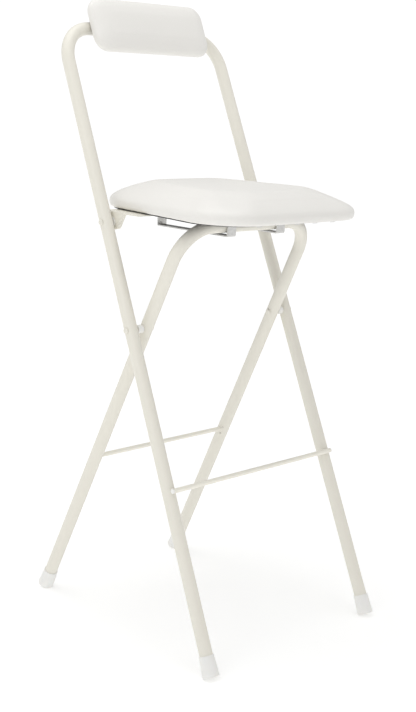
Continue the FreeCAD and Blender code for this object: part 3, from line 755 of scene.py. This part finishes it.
BACK_PLANE = LegPlane(-229.278 * MM, math.radians(23.7))
REAR_PLANE = LegPlane(229.391 * MM, math.radians(-24.1))
TUBE_RADIUS = 11 * MM
BACK_BAR_RISE = 1089.261 * MM
REST_DROP = 1.5 * MM
SEAT_PLACE = Matrix.Translation((0, 0, 702 * MM))
REST_PLACE = BACK_PLANE.matrix(0, BACK_BAR_RISE - REST_DROP, TUBE_RADIUS)


@dataclass(frozen=True)
class PadShape:
    """A pad's outline and section, from the face that it is fixed by.

    The front and rear corners are given for the right half, each by x, y and its radius.
    """

    front: Triple
    rear: Triple
    base: float
    edge: float
    thick: float
    draw_in: float
    crown_reach: float

    # crown reaches over which a corner's radius would shrink to nothing
    SHRINK_REACHES = 1.6
    UNDER_ANGLES = np.radians(np.linspace(0, 75, 6))
    CROWN_ANGLES = np.radians(np.linspace(0, 90, 14))
    # the share of the slack by which a slacker form is narrower
    SLACK_SHARE = 0.4

    @property
    def corners(self) -> tuple[Triple, ...]:
        """All four corners, anticlockwise from the front left."""
        mirrored = [(-x, y, radius) for x, y, radius in (self.front, self.rear)]
        return mirrored[0], self.front, self.rear, mirrored[1]

    def ring(self, inset: float, steps: int = 14) -> np.ndarray:
        """The outline drawn in by an inset, anticlockwise.

        Args:
            inset: How far the sides are drawn in.
            steps: Parts of each corner's arc.

        Returns:
            One row of x and y for each point.
        """
        shrink = 1 - inset / (self.crown_reach * self.SHRINK_REACHES)
        spots = [Vector((x - math.copysign(inset, x), y - math.copysign(inset, y)))
                 for x, y, _ in self.corners]
        points = []
        for index, (_, _, full_radius) in enumerate(self.corners):
            here = spots[index]
            back = (spots[index - 1] - here).normalized()
            ahead = (spots[(index + 1) % len(spots)] - here).normalized()
            half, radius = back.angle(ahead) / 2, full_radius * shrink
            centre = here + (back + ahead).normalized() * radius / math.sin(half)
            first = here + back * radius / math.tan(half) - centre
            sweep = math.pi - 2 * half
            for step in range(steps + 1):
                turn = sweep * step / steps
                points.append((centre.x + first.x * math.cos(turn) - first.y * math.sin(turn),
                               centre.y + first.x * math.sin(turn) + first.y * math.cos(turn)))
        return np.array(points)

    def levels(self, slack: float) -> Iterator[tuple[float, float]]:
        """Levels and insets from the base over the crown.

        Args:
            slack: How much lower and narrower than full the form is.

        Yields:
            The height and the inset of each ring.
        """
        narrower = slack * self.SLACK_SHARE
        for angle in self.UNDER_ANGLES:
            yield (self.edge - (self.edge - self.base) * math.cos(angle),
                   self.draw_in * (1 - math.sin(angle)) + narrower * math.sin(angle))
        for angle in self.CROWN_ANGLES:
            yield (self.edge + (self.thick - slack - self.edge) * math.sin(angle),
                   self.crown_reach * (1 - math.cos(angle)) + narrower)

    def area(self, inset: float) -> float:
        """The area inside the outline drawn in by an inset."""
        x, y = self.ring(inset).T
        return abs(float(np.dot(x, np.roll(y, -1)) - np.dot(y, np.roll(x, -1)))) / 2


SEAT_SHAPE = PadShape(front=(188 * MM, -194 * MM, 76 * MM), rear=(138 * MM, 146 * MM, 54 * MM),
                      base=1.6 * MM, edge=15 * MM, thick=50.5 * MM, draw_in=8 * MM, crown_reach=74 * MM)
REST_SHAPE = PadShape(front=(132 * MM, -47.5 * MM, 26 * MM), rear=(132 * MM, 47.5 * MM, 26 * MM),
                      base=1.6 * MM, edge=13 * MM, thick=30 * MM, draw_in=7 * MM, crown_reach=30 * MM)


def loft(name: str, rings: Sequence[np.ndarray]) -> Piece:
    """A closed form through rings of the same count, filled at both ends.

    Args:
        name: The object's name.
        rings: The rings, from the lowest up, anticlockwise, with three columns.

    Returns:
        The new object.
    """
    count = len(rings[0])
    faces = [tuple(reversed(range(count))), tuple(range((len(rings) - 1) * count, len(rings) * count))]
    for level in range(len(rings) - 1):
        for index in range(count):
            ahead = (index + 1) % count
            low, high = level * count, (level + 1) * count
            faces.append((low + index, low + ahead, high + ahead, high + index))
    mesh = bpy.data.meshes.new(name)
    mesh.from_pydata(np.concatenate(rings).tolist(), [], faces)
    piece = bpy.data.objects.new(name, mesh)
    bpy.context.collection.objects.link(piece)
    return piece


def at_level(ring: np.ndarray, level: float) -> np.ndarray:
    """A flat ring with its height added."""
    return np.column_stack([ring, np.full(len(ring), level)])


@dataclass(frozen=True)
class Pad:
    """A padded cushion, swelled by cloth simulation from a slacker form and held where it wraps its board."""

    name: str
    shape: PadShape
    place: Matrix
    body: Assembly
    replaced: tuple[str, ...]
    voxel: float
    slack: float
    travel: float
    held_level: float
    fill: float = 0.95
    # folds gathered under the corners
    fold_depth: float = 0.45 * MM
    fold_pitch: float = 9 * MM

    FRAMES = 20
    QUALITY = 6
    MASS = 0.3
    PRESSURE = 4.0
    HOLD_FADE = 4 * MM
    EVENING = 40
    # shares of the edge's height and of a corner's radius that the folds reach over
    FOLD_HEIGHT = 0.6
    FOLD_START = 0.5

    def build(self) -> None:
        """Make the pad."""
        rings = [at_level(self.shape.ring(inset), level) for level, inset in self.shape.levels(self.slack)]
        piece = loft(self.name, rings)
        piece.data.remesh_voxel_size = self.voxel
        Bench.pick(piece)
        bpy.ops.object.voxel_remesh()
        self.swell(piece)
        self.fill_out(piece)
        self.gather(piece)
        Bench.apply(piece, "SUBSURF", levels=1, render_levels=1)
        piece.data.transform(self.place)
        piece.data.update()
        Bench.outward(piece)
        Bench.pick(piece)
        bpy.ops.object.shade_smooth()
        settle(piece, self.name, self.body, Surface.LEATHERETTE)
        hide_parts(*self.replaced)

    def swell(self, piece: Piece) -> None:
        """Press the cover out with cloth simulation, held below, and cap how far each point moves.

        Args:
            piece: The pad's slack form.
        """
        start = read_points(piece.data)
        held = piece.vertex_groups.new(name="held")
        for index, level in enumerate(start[:, 2]):
            weight = min(1.0, max(0.0, 1 - (level - self.held_level) / self.HOLD_FADE))
            held.add([index], weight, "REPLACE")
        cloth = piece.modifiers.new("swell", "CLOTH")
        cloth.settings.quality = self.QUALITY
        cloth.settings.mass = self.MASS
        cloth.settings.use_pressure = True
        cloth.settings.uniform_pressure_force = self.PRESSURE
        cloth.settings.effector_weights.gravity = 0
        cloth.settings.vertex_group_mass = held.name
        for step in range(1, self.FRAMES + 1):
            bpy.context.scene.frame_set(step)
        seen = piece.evaluated_get(bpy.context.evaluated_depsgraph_get())
        shift = evened(piece.data, read_points(seen.data) - start, self.EVENING)
        piece.modifiers.remove(cloth)
        piece.vertex_groups.remove(held)
        bpy.context.scene.frame_set(1)
        reach = np.linalg.norm(shift, axis=1, keepdims=True)
        LOG.info("%s: the cloth moved up to %.1f mm", self.name, reach.max() / MM)
        write_points(piece.data, start + shift * np.minimum(1, self.travel / np.maximum(reach, 1e-9)))

    def fill_out(self, piece: Piece) -> None:
        """Scale the form to its full sizes, from its base.

        Args:
            piece: The swelled form.
        """
        points = read_points(piece.data)
        outline = self.shape.ring(0)
        low = np.array((*outline.min(axis=0), self.shape.base))
        high = np.array((*outline.max(axis=0), self.shape.thick))
        share = (points - points.min(axis=0)) / np.ptp(points, axis=0)
        write_points(piece.data, low + share * (high - low))

    def gather(self, piece: Piece) -> None:
        """Fold the cover a little under the corners, where it is pulled round to its hem.

        Args:
            piece: The full form.
        """
        points = read_points(piece.data)
        reach = (self.shape.edge - self.shape.base) * self.FOLD_HEIGHT
        low = np.clip(1 - (points[:, 2] - self.shape.base) / reach, 0, 1)
        for x, y, radius in self.shape.corners:
            centre = np.array([x - math.copysign(radius, x), y - math.copysign(radius, y)])
            spoke = points[:, :2] - centre
            length = np.maximum(np.linalg.norm(spoke, axis=1), 1e-6)
            right, ahead = (spoke * np.copysign(1, (x, y))).T
            window = np.where((right > 0) & (ahead > 0), np.sin(2 * np.arctan2(ahead, right)), 0)
            window *= length > radius * self.FOLD_START
            folds = np.cos(np.arctan2(ahead, right) * radius / self.fold_pitch * 2 * math.pi)
            points[:, :2] += spoke / length[:, None] * (folds * window * low * self.fold_depth)[:, None]
        write_points(piece.data, points)


@dataclass(frozen=True)
class ClosingCloth:
    """The spun cloth that closes a pad's fixed face: stapled flat, slack between, its rim rolled under."""

    name: str
    pad: PadShape
    set_in: float
    place: Matrix
    body: Assembly
    replaced: str
    thick: float = 0.6 * MM
    rim: float = 2.0 * MM
    proud: float = 0.9 * MM
    sag: float = 0.0875 * MM

    # the rolled rim, by shares of its height and of how proud it stands, and then the flat face
    ROLL = ((1.0, 0.3), (0.85, 0.8), (0.55, 1.0), (0.25, 0.8), (0.025, 0.2))
    FLAT_INSETS = (1, 4, 9, 15, 21, 28, 36, 45)
    ARC_STEPS = 10
    # how far one radian of the sag's waves reaches, across and along
    WAVES = (31 * MM, 27 * MM)
    # the share of the smallest half width that the rings may draw in
    WIDEST = 0.8

    def section(self) -> Iterator[tuple[float, float]]:
        """The height and inset of each ring, from the rolled rim to the middle."""
        for height, proud in self.ROLL:
            yield self.rim * height, -self.proud * proud
        for inset in self.FLAT_INSETS:
            yield 0.0, inset * MM

    def build(self) -> None:
        """Make the cloth."""
        rings = [at_level(self.outline(inset), level)
                 for level, inset in self.section() if self.pad.draw_in + inset < self.widest_inset()]
        piece = loft(self.name, rings)
        Bench.edit_faces(piece, lambda face: len(face.vertices) > 4 and face.center.z > self.rim * 0.9,
                         lambda: bpy.ops.mesh.delete(type="ONLY_FACE"))
        self.slacken(piece)
        Bench.apply(piece, "SOLIDIFY", thickness=self.thick, offset=1)
        piece.data.transform(self.place)
        Bench.outward(piece)
        Bench.smooth(piece, 50.0)
        settle(piece, self.name, self.body, Surface.CLOTH)
        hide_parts(self.replaced)
        outline = self.pad.ring(self.pad.draw_in)
        self.pad.area(self.pad.draw_in)

    def outline(self, inset: float) -> np.ndarray:
        """The cloth's outline, set in further along its front edge.

        Args:
            inset: How far it is drawn in all round.

        Returns:
            One row of x and y for each point.
        """
        ring = self.pad.ring(self.pad.draw_in + inset, self.ARC_STEPS)
        low, high = ring[:, 1].min(), ring[:, 1].max()
        ring[:, 1] += self.set_in * (high - ring[:, 1]) / (high - low)
        return ring

    def widest_inset(self) -> float:
        """The largest inset that still leaves a ring with some width."""
        return min(abs(value) for corner in self.pad.corners for value in corner[:2]) * self.WIDEST

    def slacken(self, piece: Piece) -> None:
        """Let the cloth hang a little between its rim and its middle.

        Args:
            piece: The flat cloth.
        """
        points = read_points(piece.data)
        flat = points[:, 2] < 0.01 * MM
        wave = np.prod(np.sin(points[:, :2] / self.WAVES), axis=1)
        points[flat, 2] += self.sag * (wave[flat] - 1)
        write_points(piece.data, points)


@dataclass(frozen=True)
class CrossScrews:
    """Pan-head screws with a cross recess, modelled once and copied."""

    name: str
    replaced: str
    body: Assembly
    places: tuple[Matrix, ...]
    shank_length: float
    head_radius: float = 5.0 * MM
    head_rise: float = 2.6 * MM
    head_rounding: float = 0.7 * MM
    dimple_rim: float = 1.1 * MM
    dimple_depth: float = 0.25 * MM
    shank_radius: float = 2.5 * MM
    # the length, width and depth of each bar of the cross, and the share that it narrows to
    recess: Triple = (4.4 * MM, 1.0 * MM, 3.0 * MM)
    recess_taper: float = 0.45

    def build(self) -> None:
        """Make the screws."""
        screws = Bench.copies(self.screw(), self.places)
        settle(screws, self.name, self.body, Surface.ZINC)
        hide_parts(self.replaced)

    def screw(self) -> Piece:
        """One screw, its head below the origin and its shank above.

        Returns:
            The object.
        """
        screw = Bench.primitive(bpy.ops.mesh.primitive_cylinder_add, vertices=40, radius=self.head_radius,
                                depth=self.head_rise, location=(0, 0, -self.head_rise / 2))
        Bench.edit_faces(screw, Bench.looks_down, Bench.inset(self.dimple_rim, self.dimple_depth))
        Bench.edit_faces(screw, Bench.looks_up, Bench.inset(self.head_radius - self.shank_radius),
                         Bench.extrude(self.shank_length))
        Bench.apply(screw, "BEVEL", width=self.head_rounding, segments=4, limit_method="ANGLE",
                    angle_limit=math.radians(30))
        Bench.combine(screw, "DIFFERENCE", self.cross())
        Bench.smooth(screw, 35.0)
        return screw

    def cross(self) -> Piece:
        """The form that cuts the recess, a cross that narrows as it goes in.

        Returns:
            The object.
        """
        bars, narrowed = [], (self.recess_taper, self.recess_taper, 1)
        for turn in (0, math.pi / 2):
            bar = Bench.primitive(bpy.ops.mesh.primitive_cube_add, size=1, rotation=(0, 0, turn),
                                  location=(0, 0, -self.head_rise), scale=self.recess)
            Bench.edit_faces(bar, Bench.looks_up, lambda: bpy.ops.transform.resize(value=narrowed))
            bars.append(bar)
        Bench.combine(bars[0], "UNION", bars[1])
        return bars[0]


def screws_under_seat(name: str, replaced: str) -> CrossScrews:
    """Screws that hold a part of the seat from below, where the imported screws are.

    Args:
        name: The new piece's name.
        replaced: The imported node.

    Returns:
        The set of screws.
    """
    low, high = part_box(replaced)
    inset, grip = CrossScrews.head_radius, 2 * MM
    head_level = SEAT_PLACE.translation.z - grip
    places = [Matrix.Translation((x, y, head_level)) @ Matrix.Rotation(turn, 4, "Z")
              for x, turn in ((low[0] + inset, 0.3), (high[0] - inset, 1.0))
              for y in (low[1] + inset, high[1] - inset)]
    return CrossScrews(name, replaced, Assembly.SEAT, tuple(places), high[2] - head_level)


def screws_behind_backrest() -> CrossScrews:
    """The two screws that hold the backrest through the top bar."""
    spread, grip, hold = 75 * MM, 2 * TUBE_RADIUS, 11.2 * MM
    places = [REST_PLACE @ Matrix.Translation((side.value * spread, REST_DROP, -grip))
              @ Matrix.Rotation(0.5, 4, "Z")
              for side in Side]
    return CrossScrews("backrest_cross_screws", "backrest_screws", Assembly.BACK, tuple(places), grip + hold)


@dataclass(frozen=True)
class Welds:
    """Painted weld beads and pits, where the rods meet the tubes."""

    rod_radius: float = 4 * MM
    front_foot_x: float = 196 * MM
    rear_foot_x: float = 162.72 * MM
    back_splay: float = math.radians(0.75)
    rear_splay: float = math.radians(0.8)
    footrest_rise: float = 298 * MM
    footrest_out: float = 14.4 * MM
    crossbar_rise: float = 300 * MM
    # the bead round the crossbar, its gap from the rod, and the share of the tube that it may lie over
    ring_bead: float = 1.1 * MM
    ring_gap: float = 0.3 * MM
    ring_cover: float = 0.95
    # a footrest bead's half sizes, and its place inwards of the leg and above and behind the rod
    short_bead: Triple = (4.6 * MM, 1.7 * MM, 1.7 * MM)
    bead_inward: float = 1.5 * MM
    bead_lift: float = 3.4 * MM
    bead_back: float = 3.7 * MM
    # a pit's form, the depth of its middle in the tube, and its place on the leg
    pit_radius: float = 1.5 * MM
    pit_wall: float = 0.22 * MM
    pit_height: float = 0.5 * MM
    pit_depth: float = 0.35 * MM
    pit_sink: float = 0.12 * MM
    pit_lift: float = 7.0 * MM
    pit_turn: float = math.radians(62)

    @property
    def crossbar_leg_x(self) -> float:
        """How far the rear legs' centre lines are from the middle at the crossbar."""
        return self.rear_foot_x - self.crossbar_rise * math.tan(self.rear_splay)

    @staticmethod
    def rough(piece: Piece, strength: float, grain: float) -> None:
        """Make a bead uneven.

        Args:
            piece: The bead.
            strength: How far its surface moves.
            grain: The size of the lumps.
        """
        texture = bpy.data.textures.new("weld_lumps", "CLOUDS")
        texture.noise_scale = grain
        Bench.apply(piece, "DISPLACE", texture=texture, strength=strength, mid_level=0.5,
                    texture_coords="LOCAL")

    def build_crossbar(self) -> None:
        """A bead round each end of the crossbar, shaped over the round leg."""
        rings = []
        place = REAR_PLANE.matrix(0, self.crossbar_rise, 0)
        for side in Side:
            ring = Bench.primitive(bpy.ops.mesh.primitive_torus_add, rotation=(0, math.pi / 2, 0),
                                   major_radius=self.rod_radius + self.ring_gap, major_segments=56,
                                   minor_radius=self.ring_bead, minor_segments=12)
            self.rough(ring, strength=0.5 * MM, grain=2.2 * MM)
            points = read_points(ring.data)
            out = np.abs(points @ np.array(place.to_3x3())[:, 2])
            reach = np.minimum(out, TUBE_RADIUS * self.ring_cover)
            points[:, 0] += side.value * (self.crossbar_leg_x - np.sqrt(TUBE_RADIUS ** 2 - reach ** 2))
            points[:, 1:] += place.translation.yz
            write_points(ring.data, points)
            rings.append(ring)
        self.finish(rings, "crossbar_welds", Assembly.REAR)

    def build_footrest(self) -> None:
        """A short bead above and below the footrest rod at each leg."""
        bead_x = self.front_foot_x - self.footrest_rise * math.tan(self.back_splay) - self.bead_inward
        beads = []
        for side, lift in product(Side, (-self.bead_lift, self.bead_lift)):
            bead = Bench.primitive(bpy.ops.mesh.primitive_uv_sphere_add, segments=32, ring_count=18,
                                   radius=1, scale=self.short_bead)
            self.rough(bead, strength=0.6 * MM, grain=2.4 * MM)
            bead.data.transform(BACK_PLANE.matrix(side.value * bead_x, self.footrest_rise + lift,
                                                  self.footrest_out - self.bead_back))
            beads.append(bead)
        self.finish(beads, "footrest_welds", Assembly.BACK)

    def build_pits(self) -> None:
        """Two small pits at the toe of each crossbar weld, above and below the rod, painted near-black as
        painted shadow in the gaps there.
        """
        pits = []
        for side, lift in product(Side, (-self.pit_lift, self.pit_lift)):
            pit = Bench.primitive(bpy.ops.mesh.primitive_cylinder_add, vertices=20, radius=self.pit_radius,
                                  depth=self.pit_height, location=(0, 0, TUBE_RADIUS - self.pit_sink))
            Bench.edit_faces(pit, Bench.looks_up, Bench.inset(self.pit_wall), Bench.extrude(-self.pit_depth))
            place = REAR_PLANE.matrix(side.value * self.crossbar_leg_x, self.crossbar_rise + lift, 0)
            pit.data.transform(place @ Matrix.Rotation(-side.value * self.pit_turn, 4, "Y"))
            pits.append(pit)
        pit = Bench.join(pits)
        Bench.smooth(pit)
        # the pits take the near-black paint as painted shadow
        settle(pit, "weld_pits", Assembly.REAR, Surface.PAINT, PIT_PAINTED_SHADOW)

    @staticmethod
    def finish(beads: Sequence[Piece], name: str, body: Assembly) -> None:
        """Join beads into one dressed piece.

        Args:
            beads: The beads. They are used up.
            name: The piece's name.
            body: The body that it rides on.
        """
        welds = Bench.join(beads)
        Bench.outward(welds)
        Bench.smooth(welds, 60.0)
        settle(welds, name, body, Surface.PAINT, WELD_PAINT)


@dataclass(frozen=True)
class Camera:
    """The camera, by its place, its direction and its image of 416 by 712 points."""

    azimuth: float = -46.061
    distance: float = 2207.024 * MM
    offset_y: float = 4.35 * MM
    height: float = 927.235 * MM
    yaw: float = 0.204
    pitch: float = 10.05
    roll: float = -2.926
    focal: float = 1301.441
    centre: tuple[float, float] = (205.773, 307.6)

    IMAGE = (416, 712)
    SENSOR = 36.0

    def build(self) -> None:
        """Add the camera and make it the scene's."""
        around = math.radians(self.azimuth)
        yaw, pitch, roll = [math.radians(value) for value in (self.azimuth + self.yaw, self.pitch, self.roll)]
        ahead = Vector((-math.sin(yaw) * math.cos(pitch), math.cos(yaw) * math.cos(pitch), -math.sin(pitch)))
        right = Vector((math.cos(yaw), math.sin(yaw), 0))
        above = right.cross(ahead)
        across = right * math.cos(roll) - above * math.sin(roll)
        upward = right * math.sin(roll) + above * math.cos(roll)
        turn = Matrix((across, upward, -ahead)).transposed().to_4x4()
        spot = Vector((math.sin(around) * self.distance, self.offset_y - math.cos(around) * self.distance,
                       self.height))
        data = bpy.data.cameras.new("camera")
        data.sensor_width = self.SENSOR
        data.lens = self.focal / self.IMAGE[1] * self.SENSOR
        data.shift_x = (self.IMAGE[0] / 2 - self.centre[0]) / self.IMAGE[1]
        data.shift_y = (self.centre[1] - self.IMAGE[1] / 2) / self.IMAGE[1]
        data.clip_start, data.clip_end = 0.05, 100
        camera = bpy.data.objects.new("camera", data)
        bpy.context.collection.objects.link(camera)
        camera.matrix_world = Matrix.Translation(spot) @ turn
        bpy.context.scene.camera = camera


@dataclass(frozen=True)
class SoftBox:
    """A large soft light, aimed at the middle of the stool."""

    name: str
    place: Triple
    side: float
    power: float

    AIM = Vector((0, 0, 0.6))

    def build(self) -> None:
        """Add the light."""
        data = bpy.data.lights.new(self.name, "AREA")
        data.shape = "SQUARE"
        data.size = self.side
        data.energy = self.power
        light = bpy.data.objects.new(self.name, data)
        bpy.context.collection.objects.link(light)
        light.location = self.place
        light.rotation_euler = (self.AIM - Vector(self.place)).to_track_quat("-Z", "Y").to_euler()


@dataclass(frozen=True)
class Studio:
    """A plain pale floor and soft light from all round."""

    floor_side: float = 40.0
    ambient: float = 0.60
    wall_glow: float = 1.05
    boxes: tuple[SoftBox, ...] = (
        SoftBox("overhead_box", (-0.3, 0.3, 3.2), 2.6, 37.0),
        SoftBox("left_box", (-3.0, -1.0, 1.5), 2.0, 11.0),
        SoftBox("right_box", (1.4, -3.0, 1.0), 2.0, 3.0),
    )

    def build(self) -> None:
        """Add the floor, the lights, the surroundings and the camera."""
        floor = Bench.primitive(bpy.ops.mesh.primitive_plane_add, size=self.floor_side)
        floor.name = "studio_floor"
        floor.data.materials.append(material_of(FLOOR_FINISH))
        for box in self.boxes:
            box.build()
        world = bpy.data.worlds.new("studio")
        world.use_nodes = True
        graph = Graph(world.node_tree)
        lit, seen = [graph.add("Background", {"Color": (1, 1, 1, 1), "Strength": strength}).outputs[0]
                     for strength in (self.ambient, self.wall_glow)]
        direct = graph.add("LightPath").outputs["Is Camera Ray"]
        both = graph.add("MixShader", {0: direct, 1: lit, 2: seen})
        graph.add("OutputWorld", {"Surface": both.outputs[0]})
        bpy.context.scene.world = world
        bpy.context.scene.view_settings.view_transform = "Standard"
        Camera().build()


class Stool:
    """The whole stool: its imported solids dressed, and the pieces that are modelled here."""

    PADS = (
        Pad("seat_pad", SEAT_SHAPE, SEAT_PLACE, Assembly.SEAT, ("seat_cover", "seat_foam"),
            voxel=5 * MM, slack=5 * MM, travel=7 * MM, held_level=9 * MM),
        Pad("backrest_pad", REST_SHAPE, REST_PLACE, Assembly.BACK, ("backrest_cover", "backrest_foam"),
            voxel=4 * MM, slack=3 * MM, travel=5 * MM, held_level=7 * MM),
    )
    CLOTHS = (
        ClosingCloth("seat_underside_spun_cloth", SEAT_SHAPE, 9 * MM, SEAT_PLACE, Assembly.SEAT,
                     "seat_underside_cloth"),
        ClosingCloth("backrest_back_spun_cloth", REST_SHAPE, 0.0, REST_PLACE, Assembly.BACK,
                     "backrest_back_cloth"),
    )

    @staticmethod
    def dress_nodes() -> None:
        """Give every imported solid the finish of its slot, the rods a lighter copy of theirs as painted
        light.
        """
        slots = {part["node"]: part["material_slot"] for part in frame["record"]["subparts"]}
        for name, node in frame["nodes"].items():
            # the rods get the lighter copy of the frame's paint, as painted light
            material = material_of(ROD_PAINT_WITH_PAINTED_LIGHT if name in RODS else FINISHES[Surface(slots[name])])
            for slot in node.material_slots:
                slot.material = material
            LOG.info("%s: %s", name, material.name)

    def build(self) -> None:
        """Make every piece in order."""
        self.dress_nodes()
        for soft in (*self.PADS, *self.CLOTHS):
            soft.build()
        for screws in (screws_under_seat("strap_cross_screws", "guide_strap_screws"),
                       screws_under_seat("bracket_cross_screws", "hinge_bracket_screws"),
                       screws_behind_backrest()):
            screws.build()
        welds = Welds()
        welds.build_crossbar()
        welds.build_footrest()
        welds.build_pits()
        Studio().build()


def main() -> None:
    """Build the stool."""
    logging.basicConfig(level=logging.INFO, format="%(name)s: %(message)s")
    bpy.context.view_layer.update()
    Stool().build()


if __name__ == "__main__":
    main()
